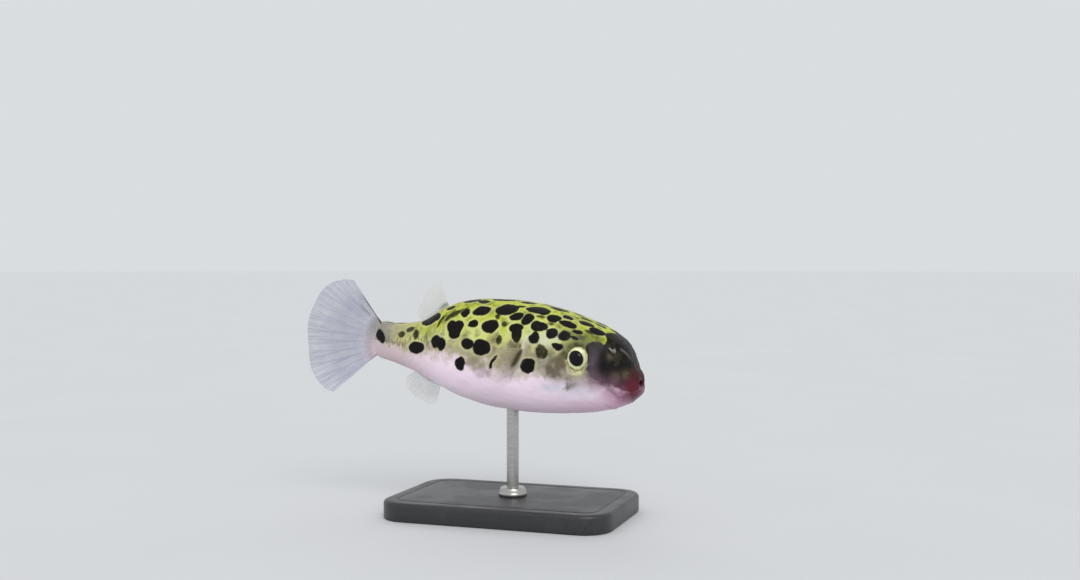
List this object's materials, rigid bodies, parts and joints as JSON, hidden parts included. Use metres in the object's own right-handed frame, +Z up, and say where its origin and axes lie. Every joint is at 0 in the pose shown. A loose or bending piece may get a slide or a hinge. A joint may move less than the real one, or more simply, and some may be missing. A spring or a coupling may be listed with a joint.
{
  "type": "spotted pufferfish model",
  "caption": "Life-size still model of a swimming spotted pufferfish, nose slightly down, fins spread, held over a small flat stand by one rod.",
  "frame": {"origin": "on the floor, at the middle of the part's box", "axes": "+X from the tail to the head, +Y to the fish's left, +Z up"},
  "size_m": [0.0783, 0.032, 0.0501],
  "materials": {
    "skin": "moist smooth skin, black spots on a yellow-green back, pinkish white belly",
    "beak": "smooth ivory",
    "eye": "glossy, black pupil in a pale yellow iris",
    "fin": "thin, translucent, grey-lavender",
    "stand_base": "satin black",
    "stand_metal": "brushed"
  },
  "bodies": {
    "root": {"head": "skin", "trunk": "skin", "tail_stalk": "skin", "upper_lip": "skin", "lower_lip": "skin", "nostril_left": "skin", "nostril_right": "skin", "beak_upper": "beak", "beak_lower": "beak", "eye_left": "eye", "eye_right": "eye", "pectoral_fin_left": "fin", "pectoral_fin_right": "fin", "dorsal_fin": "fin", "anal_fin": "fin", "caudal_fin": "fin", "stand_base": "stand_base", "stand_collar": "stand_metal", "stand_rod": "stand_metal"}
  },
  "joints": []
}
